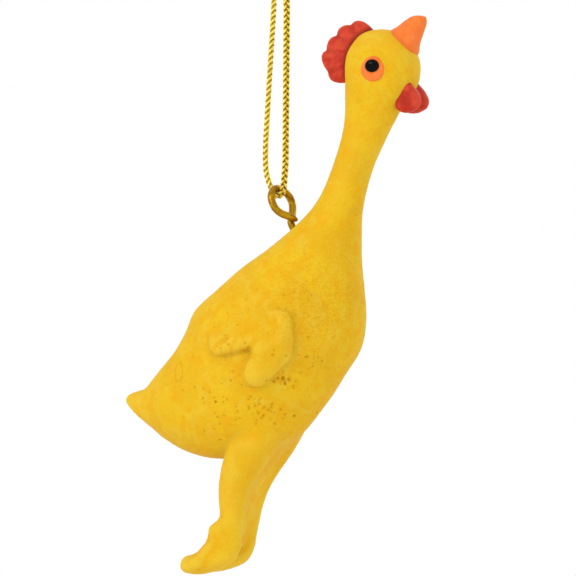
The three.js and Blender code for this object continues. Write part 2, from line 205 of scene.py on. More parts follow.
# Grooves pressed into a wing: (from, to, depth, half width).
WING_GROOVES = [
    ((-4.4, -72.6), (-8.3, -76.0), 0.55, 0.5),
    ((-3.0, -73.3), (-3.9, -75.2), 0.3, 0.5),
    ((-0.9, -75.5), (0.6, -73.6), 0.45, 0.5),
    ((-0.2, -75.4), (-6.2, -76.5), 0.5, 0.28),
    ((-0.9, -75.2), (-1.2, -76.8), 0.7, 0.32),
]

# The web of clay between the legs, in the same form as the outlines above.
WEB = [
    (-3.0, -86.0, -3.0, -86.0, 0, 0),
    (-5.6, -90.0, 3.3, -90.6, 6.0, 0),
    (-7.0, -94.9, -0.3, -95.6, 4.8, 0),
    (-8.0, -100.9, -4.0, -101.7, 4.4, 0),
    (-8.4, -106.2, -5.8, -107.0, 3.9, 0),
    (-9.4, -110.4, -7.0, -112.0, 3.5, 0),
    (-9.6, -113.2, -9.6, -113.2, 0, 0),
]

# Toes and heel of a foot: a point is (x, lateral y, z, radius).
TOE_ROLLS = [
    [(-10.6, 3.8, -111.2, 1.7), (-14.2, 3.8, -114.9, 1.6), (-16.5, 3.8, -115.9, 1.6)],
    [(-10.6, 4.6, -111.6, 1.6), (-13.6, 5.7, -115.0, 1.35), (-15.4, 6.2, -115.9, 1.3)],
    [(-10.6, 3.0, -111.6, 1.6), (-13.6, 1.9, -115.0, 1.35), (-15.2, 1.6, -115.9, 1.3)],
    [(-9.6, 3.9, -108.2, 1.5), (-11.4, 3.9, -109.0, 1.25)],
]

# The cord's two strands in their own plane, from the knot down: (across, z).
STRAND_BACK = [
    (-0.68, -0.3), (-0.68, -1.6), (-0.75, -4.5), (-1.0, -9.8), (-1.4, -15.5), (-1.85, -21.0),
    (-2.3, -26.7), (-2.7, -32.2), (-3.0, -36.5), (-3.05, -40.0), (-2.7, -42.6),
]
STRAND_FRONT = [
    (0.68, -0.3), (0.72, -1.6), (1.2, -4.5), (2.15, -9.8), (2.2, -15.5), (2.15, -21.0),
    (2.1, -26.7), (2.05, -32.2), (2.0, -36.5), (1.95, -40.0), (1.75, -42.6),
]
BEND_DEGREES = (200, 235, 270, 305, 340)

# A strand through the knot and its cut tail above it, on one side: (across, forward, z).
KNOT_TAIL = [
    (0.66, 0, -0.2), (0.62, 0.1, 1.5), (0.6, 0.2, 3.2), (0.72, 0.3, 4.6), (1.0, 0.35, 6.4), (1.35, 0.3, 8.2),
]
# The barrel of wraps round the strands. Its ends are tucked in over tuck radians, and it climbs
# from low by climb in each radian.
KNOT = {"turns": 2.15, "radius": 1.5, "tucked": 0.75, "tuck": 1.2, "low": 0.75, "climb": 0.19}
KNOT_OVAL = (1.08, 0.8)
CUT_END = 0.9  # length over which a cut cord gathers its strands

# The clay's (voxel, rounds of smoothing), before and after the wings are raised.
CLAY = {"rough": (0.36, 6), "fine": (0.33, 5), "cavity": 10}
CUTTER = (0.35, 6)  # the same for a CAD node that parts the clay
PARTING = {"wing": 0.7, "leg": 0.55}  # how far past the node the clay is parted
SEAM = {"near": 0.01, "facing": 0.4}  # what counts as the uncut skin, by distance and by direction
THIGH_BLEND = {"x": 3.4, "y": 6.0, "z": -89.0, "reach": 7.0, "rounds": 150}
SHANKS = {"apart": 4.8, "soft": 1.8, "top": -92, "foot": -112, "weight": 0.8}  # the web's smoothing

# Unevenness of the skin: (depth, how fine it is).
BROAD, FINE, WRINKLE = (0.10, 0.16), (0.030, 0.9), (0.028, (0.55, 0.5, 1.7))
RUMP_MARK = {"x": -16.5, "z": -79.5, "across": 0.95, "up": 1.75, "mean": 1.3}  # an oval line
RUMP_LINE = {"width": 0.22, "depth": 0.07, "wash_and_shade": 0.35}
GRAIN = {"x": 9.5, "z": -67.0, "across": 8.0, "up": 9.0, "least": 0.15}  # the wrinkled breast
# Casting pits, in clusters: (x, z, spread in x, spread in z, how many, mean radius).
PIT_CLUSTERS = [
    (4.9, -80.6, 1.3, 1.0, 22, 0.30),
    (0.4, -86.2, 2.2, 1.6, 34, 0.28),
    (9.3, -76.5, 1.5, 1.8, 14, 0.24),
    (-7.5, -84.0, 3.0, 4.5, 30, 0.24),
    (7.5, -90.0, 2.4, 3.0, 5, 0.26),
    (-1.1, -75.1, 0.4, 0.7, 4, 0.34),
    (-5.0, -73.1, 0.6, 0.7, 4, 0.26),
    (5.6, -76.0, 1.4, 2.0, 5, 0.22),
    (8.0, -66.0, 5.0, 4.5, 26, 0.17),
    (-8.0, -70.0, 5.0, 4.0, 12, 0.17),
]
PIT = {"seed": 7, "sizes": (0.7, 1.35), "depths": (0.3, 0.6), "wash_and_shade": 0.75}

# Paints and metals, in linear colour.
FLOOR = ((0.90, 0.90, 0.89), (0.93, 0.93, 0.92))
BRASS = {"bright": (0.44, 0.25, 0.010), "tarnish": (0.25, 0.115, 0.004), "drawn": (0.64, 0.40, 0.03)}
GOLD = {
    "shadow": (0.030, 0.013, 0.001),
    "thread": (0.74, 0.45, 0.02),
    "highlight": (1.0, 0.92, 0.16),
    "dull": (0.50, 0.29, 0.015),
    "fibre": (0.40, 0.22, 0.015),
}
YELLOW = {
    "base": (0.645, 0.365, 0.006),
    "clear": (0.68, 0.42, 0.008),
    "warm": (0.69, 0.335, 0.004),
    "chalk": (0.66, 0.445, 0.030),
    "speck": (0.55, 0.30, 0.004),
    "stroke": (0.71, 0.48, 0.024),
    # paler on what stands out: rubbed paint and a painted highlight
    "rubbed_and_highlight": (0.71, 0.495, 0.040),
    # crease: painted shade in the creases and in the dip round each eye
    "crease": (0.53, 0.35, 0.020),
    # pit: darker in the pits and the rump line, a wash of paint with painted shade
    "pit": (0.46, 0.235, 0.0025),
    # wrinkle: painted shade in the grooves of the fine wrinkles
    "wrinkle": (0.60, 0.29, 0.003),
}
# deep: painted shade in creases and at roots; light: lighter tone, also a painted highlight along rims
RED = {"base": (0.44, 0.025, 0.011), "deep": (0.16, 0.005, 0.003), "light": (0.57, 0.062, 0.028)}
ORANGE = {"base": (0.75, 0.160, 0.024), "deep": (0.38, 0.062, 0.007), "light": (0.79, 0.195, 0.040)}
BLACK = ((0.001, 0.001, 0.001), (0.005, 0.004, 0.004))

# -------- meshes


def link(obj):
    bpy.context.scene.collection.objects.link(obj)
    return obj


def new_object(name, vertices, faces):
    mesh = bpy.data.meshes.new(name)
    mesh.from_pydata(np.asarray(vertices, float).tolist(), [], faces)
    mesh.polygons.foreach_set("use_smooth", [True] * len(mesh.polygons))
    return link(bpy.data.objects.new(name, mesh))


def read(items, key, width=3, kind=np.float32):
    """One property of all vertices, edges or values, a row for each."""
    flat = np.empty(len(items) * width, kind)
    items.foreach_get(key, flat)
    return flat.reshape(-1, width)


def vertices_of(mesh):
    return read(mesh.vertices, "co").astype(float)


def normals_of(mesh):
    return read(mesh.vertices, "normal").astype(float)


def move_vertices(mesh, points):
    mesh.vertices.foreach_set("co", np.asarray(points, np.float32).ravel())
    mesh.update()


@contextmanager
def editing(mesh):
    """The mesh as a bmesh, written back at the end."""
    bm = bmesh.new()
    bm.from_mesh(mesh)
    yield bm
    bm.to_mesh(mesh)
    bm.free()


def kd_tree(points):
    tree = KDTree(len(points))
    for k, p in enumerate(points):
        tree.insert(p, k)
    tree.balance()
    return tree


def bake_modifiers(obj):
    """Replace the object's mesh by what its modifiers make of it."""
    graph = bpy.context.evaluated_depsgraph_get()
    made = bpy.data.meshes.new_from_object(obj.evaluated_get(graph))
    obj.modifiers.clear()
    old, obj.data = obj.data, made
    bpy.data.meshes.remove(old)


def remesh(obj, voxel):
    """One closed skin round everything in the object."""
    modifier = obj.modifiers.new("remesh", "REMESH")
    modifier.mode = "VOXEL"
    modifier.voxel_size = voxel
    modifier.use_smooth_shade = True
    bake_modifiers(obj)


KEEP_VOLUME = (0.5, -0.52)  # a step that smooths, then one that swells the surface back


def relax(obj, rounds, steps=KEEP_VOLUME, weight=1.0):
    """Smooth the surface where it has weight. A step is how far a vertex goes to its neighbours."""
    mesh = obj.data
    points = vertices_of(mesh)
    a, b = read(mesh.edges, "vertices", 2, np.int32).T
    count = len(points)
    degree = np.bincount(np.concatenate([a, b]), minlength=count)[:, None]
    weight = np.broadcast_to(weight, (count,))[:, None]
    for _ in range(rounds):
        for step in steps:
            sums = [np.bincount(a, p[b], count) + np.bincount(b, p[a], count) for p in points.T]
            points = points + step * weight * (np.stack(sums, 1) / degree - points)
    move_vertices(mesh, points)


def even_out(obj, voxel, rounds):
    remesh(obj, voxel)
    relax(obj, rounds)


def join(name, objects):
    """Put closed meshes into one object, still overlapping."""
    vertices, faces, start = [], [], 0
    for obj in objects:
        vertices.append(vertices_of(obj.data))
        faces += [[v + start for v in face.vertices] for face in obj.data.polygons]
        start += len(obj.data.vertices)
        bpy.data.objects.remove(obj)
    return new_object(name, np.concatenate(vertices), faces)


def node_copy(name, node):
    """A CAD node's mesh in millimetres, with its vertices merged."""
    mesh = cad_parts[node].data.copy()
    mesh.transform(Matrix.Scale(1 / MM, 4))
    with editing(mesh) as bm:
        bmesh.ops.remove_doubles(bm, verts=bm.verts, dist=1e-3)
    mesh.materials.clear()
    return link(bpy.data.objects.new(name, mesh))


def place(obj, body, slot, material, *nodes):
    """Turn a piece into metres, paint it, and let it ride on its body in place of its CAD nodes."""
    obj.data.transform(Matrix.Scale(MM, 4))
    obj.data.materials.clear()
    obj.data.materials.append(material)
    if body:
        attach(obj, body)
    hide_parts(*nodes)
    return obj


def set_attribute(mesh, name, values):
    attribute = mesh.attributes.get(name) or mesh.attributes.new(name, "FLOAT", "POINT")
    attribute.data.foreach_set("value", np.asarray(values, np.float32))


def get_attribute(mesh, name):
    return read(mesh.attributes[name].data, "value", 1)[:, 0]


# -------- curves and sweeps


def circle(sides):
    """The angles of the corners of a round section."""
    return np.linspace(0, 2 * np.pi, sides, endpoint=False)


def unit(rows):
    return rows / np.linalg.norm(rows, axis=1, keepdims=True)


def curve(points, count):
    """Points on a centripetal Catmull-Rom curve, evenly spread over its stations."""
    p = np.asarray(points, float)
    padded = np.vstack([2 * p[0] - p[1], p, 2 * p[-1] - p[-2]])
    t = np.linspace(0, len(p) - 1, count)
    i = np.minimum(t.astype(int), len(p) - 2)
    w = (t - i)[:, None]
    p0, p1, p2, p3 = (padded[i + k] for k in range(4))
    gaps = [np.sqrt(np.linalg.norm(b - a, axis=1, keepdims=True)) for a, b in ((p0, p1), (p1, p2), (p2, p3))]
    d1 = np.where(gaps[1] < 1e-4, 1.0, gaps[1])
    d0, d2 = (np.where(gap < 1e-4, d1, gap) for gap in (gaps[0], gaps[2]))
    m1 = d1 * ((p1 - p0) / d0 - (p2 - p0) / (d0 + d1) + (p2 - p1) / d1)
    m2 = d1 * ((p2 - p1) / d1 - (p3 - p1) / (d1 + d2) + (p3 - p2) / d2)
    return (
        p1 * (2 * w**3 - 3 * w**2 + 1)
        + m1 * (w**3 - 2 * w**2 + w)
        + p2 * (3 * w**2 - 2 * w**3)
        + m2 * (w**3 - w**2)
    )


def evenly(points, spacing):
    """The same line with its points a fixed distance apart."""
    along = np.concatenate([[0], np.cumsum(np.linalg.norm(np.diff(points, axis=0), axis=1))])
    wanted = np.linspace(0, along[-1], max(2, round(along[-1] / spacing) + 1))
    return np.stack([np.interp(wanted, along, points[:, i]) for i in range(3)], 1), wanted


def grid_faces(rows, sides):
    """Quads of a tube whose rings follow each other, closed by a point at each end."""
    faces = []
    for i in range(sides):
        j = (i + 1) % sides
        faces.append([rows * sides, j, i])
        faces.append([rows * sides + 1, (rows - 1) * sides + i, (rows - 1) * sides + j])
        for k in range(0, (rows - 1) * sides, sides):
            faces.append([k + i, k + j, k + sides + j, k + sides + i])
    return faces


def face_out(obj):
    with editing(obj.data) as bm:
        bmesh.ops.recalc_face_normals(bm, faces=bm.faces)
    return obj


def loft(name, stations, sides, steps, side=1):
    """A closed loft through elliptical sections; the first and last stations are its poles."""
    rings = (len(stations) - 1) * steps
    s = np.asarray(stations, float)
    zeros = np.zeros(len(s))
    back = curve(np.stack([s[:, 0], zeros, s[:, 1]], 1), rings + 1)[1:-1]
    front = curve(np.stack([s[:, 2], zeros, s[:, 3]], 1), rings + 1)[1:-1]
    width = curve(np.stack([s[:, 4], s[:, 5] * side, zeros], 1), rings + 1)[1:-1]
    angle = circle(sides)
    middle = (back + front) / 2
    middle[:, 1] = width[:, 1]
    points = middle[:, None] + (front - back)[:, None] / 2 * np.cos(angle)[None, :, None]
    points[:, :, 1] = middle[:, None, 1] + width[:, None, 0] * np.sin(angle)
    poles = [(x, y * side, z) for x, z, y in ((s[k][0], s[k][1], s[k][5]) for k in (0, -1))]
    vertices = np.vstack([points.reshape(-1, 3), poles])
    return face_out(new_object(name, vertices, grid_faces(rings - 1, sides)))


def frames_along(line, steady):
    """The tangent and two directions square to it, the first as near to steady as can be."""
    tangent = unit(np.gradient(line, axis=0))
    steady = np.asarray(steady, float)
    u = unit(steady - (tangent @ steady)[:, None] * tangent)
    return tangent, u, np.cross(tangent, u)


def carried_frames(line, start):
    """The same, but carried along the line without twisting."""
    tangent = unit(np.gradient(line, axis=0))
    u = np.empty_like(line)
    last = np.asarray(start, float)
    for k, t in enumerate(tangent):
        last = last - (last @ t) * t
        last /= np.linalg.norm(last)
        u[k] = last
    return tangent, u, np.cross(tangent, u)


def sweep(name, line, frames, radius, sides):
    """A tube along a line. radius is one number or an array of one per ring and side."""
    tangent, u, v = frames
    angle = circle(sides)
    r = np.broadcast_to(np.asarray(radius, float), (len(line), sides))[..., None]
    rim = np.cos(angle)[None, :, None] * u[:, None] + np.sin(angle)[None, :, None] * v[:, None]
    points = (line[:, None] + rim * r).reshape(-1, 3)
    ends = [line[0] - tangent[0] * r[0, 0] * 0.5, line[-1] + tangent[-1] * r[-1, 0] * 0.5]
    return face_out(new_object(name, np.vstack([points, ends]), grid_faces(len(line), sides)))


# -------- material nodes


class Shader:
    """A material whose nodes are added one call at a time."""

    def __init__(self, name):
        self.material = bpy.data.materials.new(name)
        self.material.use_nodes = True
        self.tree = self.material.node_tree
        self.bsdf = self.tree.nodes["Principled BSDF"]
        coordinates = self.node("TexCoord", {})["Object"]
        self.place = self.mapped(coordinates, (1 / MM,) * 3)  # object space in millimetres

    def put(self, socket, value):
        if isinstance(value, bpy.types.NodeSocket):
            self.tree.links.new(value, socket)
        else:
            socket.default_value = value

    def node(self, kind, inputs, **settings):
        """Add a node with its settings and inputs, and give its outputs."""
        n = self.tree.nodes.new("ShaderNode" + kind)
        for key, value in settings.items():
            setattr(n, key, value)
        for key, value in inputs.items():
            self.put(n.inputs[key], value)
        return n.outputs

    def mapped(self, vector, scale, rotation=(0, 0, 0)):
        return self.node("Mapping", {"Vector": vector, "Scale": scale, "Rotation": rotation})["Vector"]

    def noise(self, scale, detail=2.0, distortion=0.0, vector=None):
        inputs = {"Vector": vector or self.place, "Scale": scale, "Detail": detail, "Distortion": distortion}
        return self.node("TexNoise", inputs)["Fac"]

    def attribute(self, name):
        return self.node("Attribute", {}, attribute_name=name)["Fac"]

    def math(self, operation, a, b=0.0):
        return self.node("Math", {0: a, 1: b}, operation=operation)[0]

    def spread(self, value, *ranges):
        """Stretch a value from one range to another (0 to 1 if not given), clamped, with soft ends."""
        return self.node("MapRange", dict(enumerate((value, *ranges))), interpolation_type="SMOOTHSTEP")[0]

    def mix(self, factor, *colours):
        a, b = ((*c, 1) if isinstance(c, tuple) else c for c in colours)
        return self.node("Mix", {0: factor, 6: a, 7: b}, data_type="RGBA")[2]

    def coats(self, colour, *coats):
        """Lay coats of paint over a colour, each one a pair: where it lies, and its own colour."""
        for where, coat in coats:
            colour = self.mix(where, colour, coat)
        return colour

    def bump(self, height, depth, strength=1.0, normal=None):
        """depth is the height's full range in millimetres."""
        inputs = {"Strength": strength, "Distance": depth * MM, "Height": height}
        return self.node("Bump", inputs | ({"Normal": normal} if normal else {}))["Normal"]

    def finish(self, **inputs):
        for name, value in inputs.items():
            self.put(self.bsdf.inputs[name.replace("_", " ")], value)
        return self.material


# -------- camera and stage


def make_camera():
    azimuth = math.radians(VIEW["azimuth"])
    right = Vector((math.cos(azimuth), math.sin(azimuth), 0))
    back = Vector((math.sin(azimuth), -math.cos(azimuth), 0))
    data = bpy.data.cameras.new("camera")
    data.lens = data.sensor_width * VIEW["distance"] / VIEW["field"]
    camera = link(bpy.data.objects.new("camera", data))
    camera.location = right * VIEW["across"] + Vector((0, 0, VIEW["up"])) + back * VIEW["distance"]
    camera.rotation_euler = back.to_track_quat("Z", "Y").to_euler()
    bpy.context.scene.camera = camera


def make_lamp(name, location, size, power):
    data = bpy.data.lights.new(name, "AREA")
    data.size = size
    data.energy = power
    lamp = link(bpy.data.objects.new(name, data))
    lamp.location = location
    aim = (cad_box[0] + cad_box[1]) / 2
    lamp.rotation_euler = (Vector(location) - aim).to_track_quat("Z", "Y").to_euler()


def make_floor():
    sides = STAGE["sides"]
    angle = circle(sides)
    rim = np.stack([np.cos(angle), np.sin(angle), np.zeros(sides)], 1) * STAGE["radius"]
    rim[:, 2] = cad_box[0].z - STAGE["clear"]
    floor = new_object("floor", rim, [list(range(sides))])
    s = Shader("floor")
    tone = s.spread(s.noise(0.02), 0.3, 0.7)
    floor.data.materials.append(s.finish(Base_Color=s.mix(tone, *FLOOR), Roughness=0.8))


def make_stage():
    scene = bpy.context.scene
    scene.view_settings.view_transform = "Standard"
    scene.world = bpy.data.worlds.new("studio")
    scene.world.use_nodes = True
    background = scene.world.node_tree.nodes["Background"].inputs
    background["Color"].default_value = (1, 1, 1, 1)
    background["Strength"].default_value = 1.0
    for lamp in LAMPS:
        make_lamp(*lamp)
    make_floor()


# -------- screw eye


def level_across(out):
    """The level direction in which the cord passes through the eye."""
    return np.array([out[0], out[1], 0]) / math.hypot(out[0], out[1])


def screw_frame():
    """The eye's own axes: along the shank, across the eye in its plane, and out of its plane."""
    tilt, turn = math.radians(SCREW["tilt"]), math.radians(SCREW["turn"])
    level = np.array([math.cos(tilt), 0, math.sin(tilt)])
    lateral = np.array([0, 1, 0])
    out = level * math.cos(turn) - lateral * math.sin(turn)
    steepest = np.array([0, 0, 1]) - out * out[2]
    steepest /= np.linalg.norm(steepest)
    bearing = np.array([CONTACT[0], SCREW["ring"] * steepest[1], CONTACT[1]])
    return {
        "up": np.array([-math.sin(tilt), 0, math.cos(tilt)]),
        "across": lateral * math.cos(turn) + level * math.sin(turn),
        "out": out,
        "bearing": bearing,
        "middle": bearing - steepest * SCREW["ring"],
    }


SCREW_FRAME = screw_frame()


def in_eye(across, up, out=0.0):
    f = SCREW_FRAME
    return f["middle"] + f["across"] * across + f["up"] * up + f["out"] * out


def eye_line():
    """The wire from the shank up, round the eye, and down across itself to its free end."""
    ring, neck, crossing, collar = (SCREW[k] for k in ("ring", "neck", "crossing", "collar"))
    points = [in_eye(0, -collar - 0.4), in_eye(0, -collar + 0.4), in_eye(0.1, -neck - 0.1)]
    points.append(in_eye(ring * 0.5, -neck + 1.3))
    for degrees in range(-20, 201, 20):
        angle = math.radians(degrees)
        points.append(in_eye(ring * math.cos(angle), ring * math.sin(angle)))
    points.append(in_eye(ring * -0.74, -neck + 1.9, crossing * 0.25))
    points.append(in_eye(ring * -0.42, -neck + 0.8, crossing * 0.75))
    points += [in_eye(-0.3, -neck, crossing), in_eye(0.1, -neck - 0.3, crossing)]
    return curve(points, 400)


def thread_radius(height, angle):
    """Radius of the threaded shank at a height above its point."""
    point, taper = THREAD["point"], THREAD["taper"]
    core = np.minimum(1, height / taper) * (THREAD["core"] - point) + point
    phase = (height / THREAD["pitch"] - angle / (2 * np.pi)) % 1
    crest = np.clip(1 - np.abs(phase - 0.5) * 4, 0, 1) * THREAD["ridge"]
    inside = (height > taper * 0.5) & (height < THREAD["length"] - THREAD["fade"])
    return core + np.where(inside, crest, 0)


def make_screw_eye(material):
    collar, wire, sides = SCREW["collar"], SCREW["wire"], 28
    point = in_eye(0, -collar - THREAD["length"])
    shank = np.linspace(point, in_eye(0, -collar - 0.45), 100)
    line, along = evenly(np.vstack([shank, eye_line()]), 0.1)
    angle = circle(sides)[None, :]
    height = along[:, None]
    bare = np.clip((height - THREAD["length"] + THREAD["fade"]) / 0.4, 0, 1)
    radius = thread_radius(height, angle) * (1 - bare) + wire / 2 * bare
    to_end = np.clip((along[-1] - height) / SCREW["end"], 0, 1)
    radius = radius * np.sqrt(1 - (1 - to_end) ** 2 * SCREW["worn"])
    eye = sweep("screw_eye_wire", line, carried_frames(line, SCREW_FRAME["out"]), radius, sides)
    return place(eye, "screw_eye", "brass_wire", material, "screw_eye")


def brass():
    s = Shader("aged_brass")
    cloud = s.noise(0.7, 4, 0.6)
    drawn = s.noise(1.0, 3, 0.0, s.mapped(s.place, (9, 9, 2.5), (0.3, 0.5, 0)))
    colour = s.coats(
        BRASS["bright"],
        (s.spread(cloud, 0.42, 0.66), BRASS["tarnish"]),
        (s.spread(drawn, 0.52, 0.75, 0, 0.55), BRASS["drawn"]),
    )
    rough = s.spread(cloud, 0.3, 0.7, 0.26, 0.5)
    normal = s.bump(drawn, 0.03, 0.5, s.bump(cloud, 0.06, 0.4))
    return s.finish(Base_Color=colour, Metallic=1.0, Roughness=rough, Normal=normal)


# -------- cord


def cord_points():
    """The loop's middle line: down the back strand, round the wire, and up the front strand."""
    bearing, across = SCREW_FRAME["bearing"], level_across(SCREW_FRAME["out"])
    radius = SCREW["wire"] / 2 + CORD["slack"] + CORD["diameter"] / 2
    angles = np.radians(BEND_DEGREES)
    bend = zip(radius * np.cos(angles), bearing[2] + radius * np.sin(angles))
    points = []
    for s, z in [*STRAND_BACK, *bend, *reversed(STRAND_FRONT)]:
        drop = min(1, z / bearing[2])
        points.append((bearing[0] * drop + across[0] * s, bearing[1] * drop + across[1] * s, z))
    return points


def plait(name, line, frames, roll=0.0, cut=False):
    """Three strands plaited flat along a line. roll turns the flat side, in radians."""
    spacing = np.linalg.norm(np.diff(line, axis=0), axis=1).mean()
    along = np.arange(len(line)) * spacing
    tangent, u, v = frames
    roll = np.broadcast_to(roll, (len(line),))[:, None]
    wide = u * np.cos(roll) + v * np.sin(roll)
    deep = v * np.cos(roll) - u * np.sin(roll)
    half, sides = CORD["diameter"] / 2, 12
    strand = half * CORD["strand"]
    gather = np.ones(len(line))
    if cut:
        gather = np.clip(np.minimum(along, along[-1] - along) / CUT_END, CORD["gathered"], 1)
    ring = np.append(np.repeat(np.arange(len(line)), sides), [0, len(line) - 1])  # of each vertex
    pieces, outward, length = [], [], []
    for i in range(3):
        phase = 2 * np.pi * (along / CORD["plait"] + i / 3)
        sway = half * CORD["wide"] * np.sin(phase)[:, None] * gather[:, None]
        lift = half * CORD["deep"] * np.sin(2 * phase)[:, None] * gather[:, None]
        centre = line + wide * sway + deep * lift
        piece = sweep(f"{name}_{i}", centre, carried_frames(centre, wide[0]), strand, sides)
        points = vertices_of(piece.data)
        middle, axis, core = line[ring], tangent[ring], centre[ring]
        radial = points - middle
        radial -= (radial * axis).sum(1)[:, None] * axis
        radial /= np.linalg.norm(radial, axis=1, keepdims=True) + 1e-9
        outward.append(((points - core) / strand * radial).sum(1))
        length.append(along[ring] + i * 0.54)
        pieces.append(piece)
    cord = join(name, pieces)
    set_attribute(cord.data, "outward", np.concatenate(outward))
    set_attribute(cord.data, "along", np.concatenate(length))
    return cord


def make_cord(material):
    line, along = evenly(curve(cord_points(), 1200), CORD["plait"] / 30)
    across = level_across(SCREW_FRAME["out"])
    steady = np.array([-across[1], across[0], 0])
    roll = -math.radians(CORD["roll"]) + 0.22 * np.sin(along / 9.0)  # it wanders a little
    cord = plait("gold_cord", line, frames_along(line, steady), roll)
    path = [tuple(p * MM) for p in line[::5]] + [tuple(line[-1] * MM)]
    place(cord, None, "gold_cord", material, "hanging_cord")
    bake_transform(cord)
    return cord, path, along[-1] * MM


def make_knot(material):
    """The two strands, a barrel of wraps round them, and two short tails above it."""
    across = level_across(SCREW_FRAME["out"])
    axes = np.array([across, (-across[1], across[0], 0), (0, 0, 1)])
    step = CORD["plait"] / 24
    pieces = []
    for side in (-1, 1):
        rise = curve([(side * a, side * f, z) for a, f, z in KNOT_TAIL], 90)
        line, _ = evenly(rise @ axes, step)
        pieces.append(plait(f"tail_{side}", line, carried_frames(line, across), cut=True))
    full, tucked, tuck = KNOT["radius"], KNOT["tucked"], KNOT["tuck"]
    turn = np.linspace(0, 2 * np.pi * KNOT["turns"], 200)
    radius = np.interp(turn, [0, tuck, turn[-1] - tuck, turn[-1]], [tucked, full, full, tucked])
    oval = (radius * KNOT_OVAL[0] * np.cos(turn), radius * KNOT_OVAL[1] * np.sin(turn))
    line, _ = evenly(np.stack([*oval, KNOT["low"] + KNOT["climb"] * turn], 1) @ axes, step)
    pieces.append(plait("wrap", line, frames_along(line, (0, 0, 1)), cut=True))
    keys = ("outward", "along")
    values = [np.concatenate([get_attribute(piece.data, key) for piece in pieces]) for key in keys]
    knot = join("cord_knot_wraps", pieces)
    for key, numbers in zip(keys, values):
        set_attribute(knot.data, key, numbers)
    return place(knot, "hang_point", "gold_cord", material, "cord_knot")


def gold_thread():
    """Metal thread: painted shade where strands meet, a painted highlight where they stand out, ribbed by
    its fibres.
    """
    s = Shader("gold_thread")
    outward, along = s.attribute("outward"), s.attribute("along")
    glint = s.noise(1.6, 2, 0.3)
    fibre = s.math("SINE", s.math("MULTIPLY", s.math("ADD", along, s.math("MULTIPLY", glint, 0.05)), 60.0))
    colour = s.coats(
        GOLD["shadow"],
        (s.spread(outward, 0.35, 0.84), GOLD["thread"]),
        (s.spread(outward, 0.76, 0.98), GOLD["highlight"]),
        (s.spread(glint, 0.45, 0.7, 0, 0.4), GOLD["dull"]),
        (s.spread(fibre, 0.2, 1.0, 0, 0.25), GOLD["fibre"]),
    )
    normal = s.bump(fibre, 0.035, 0.7)
    return s.finish(Base_Color=colour, Metallic=0.5, Roughness=0.34, Specular_IOR_Level=0.2, Normal=normal)


# -------- casting


def tree_of(obj):
    return BVHTree.FromPolygons(
        [Vector(v) for v in vertices_of(obj.data)], [list(p.vertices) for p in obj.data.polygons]
    )


def on_flank(tree, x, z, side):
    """Lateral place of the skin at x and z on one side, looked for from well outside it."""
    hit = tree.ray_cast(Vector((x, side * 30, z)), Vector((0, -side, 0)))[0]
    return hit.y if hit else 0.0


def roll_of_clay(name, centres, radii):
    """Overlapping balls along a line; the remesh joins them into one smooth roll."""
    mesh = bpy.data.meshes.new(name)
    with editing(mesh) as bm:
        for centre, radius in zip(centres, radii):
            matrix = Matrix.Translation(Vector(centre)) @ Matrix.Scale(float(radius), 4)
            bmesh.ops.create_icosphere(bm, subdivisions=2, radius=1.0, matrix=matrix)
    return link(bpy.data.objects.new(name, mesh))


def from_segment(flat, start, end):
    """Distance of each flat point from a segment, and how far along it the nearest place lies."""
    start, span = np.array(start), np.subtract(end, start)
    along = np.clip(((flat - start) @ span) / (span @ span), 0, 1)
    return np.linalg.norm(flat - start - along[:, None] * span, axis=1), along


def inside_outline(flat, outline):
    """Signed distance from a closed outline: positive inside."""
    distance = np.full(len(flat), 1e9)
    crossings = np.zeros(len(flat), int)
    for a, b in zip(outline, np.roll(outline, -1, axis=0)):
        distance = np.minimum(distance, from_segment(flat, a, b)[0])
        between = (flat[:, 1] > a[1]) != (flat[:, 1] > b[1])
        rise = b[1] - a[1] if b[1] != a[1] else 1e-9
        crossings += between & (flat[:, 0] < a[0] + (flat[:, 1] - a[1]) * (b[0] - a[0]) / rise)
    return np.where(crossings % 2 == 1, distance, -distance)


def smooth_step(value):
    value = np.clip(value, 0, 1)
    return value * value * (3 - 2 * value)


def raise_wings(clay):
    """Press both wings out of the flanks: flush at the shoulder's back, proud at their free edges."""
    points, normal = vertices_of(clay.data), normals_of(clay.data)
    flat = points[:, [0, 2]]
    closed = curve([*WING_OUTLINE, WING_OUTLINE[0]], 121)[:-1]
    depth = inside_outline(flat, closed)
    edge = np.sqrt(1 - (1 - np.clip(depth / WING["round"], 0, 1)) ** 2)
    ramp = smooth_step(from_segment(flat, *WING["flush"])[0] / WING["ramp"])
    push = WING["proud"] * edge * (WING["least"] + (1 - WING["least"]) * ramp)
    for start, end, pressed, width in WING_GROOVES:
        distance, along = from_segment(flat, start, end)
        push -= pressed * np.exp(-((distance / width) ** 2)) * smooth_step(along * 3 + 0.2) * (depth > -0.4)
    flank = np.abs(points[:, 1]) > WING["flank"]
    move_vertices(clay.data, points + normal * (push * flank)[:, None])


def toe_rolls(side):
    rolls = []
    for stations in TOE_ROLLS:
        line = curve(stations, 20)
        rolls.append(roll_of_clay("toe_roll", [(x, y * side, z) for x, y, z, _ in line], line[:, 3]))
    return rolls


def scatter_pits(tree):
    """Casting pits on both flanks: (x, y, z, radius, depth)."""
    random = np.random.default_rng(PIT["seed"])
    pits = []
    for side in (RIGHT, LEFT):
        for x, z, spread_x, spread_z, count, size in PIT_CLUSTERS:
            for _ in range(count):
                px, pz = random.normal(x, spread_x), random.normal(z, spread_z)
                radius = size * random.uniform(*PIT["sizes"])
                y = on_flank(tree, px, pz, side)
                if y:
                    pits.append((px, y, pz, radius, radius * random.uniform(*PIT["depths"])))
    return np.array(pits)


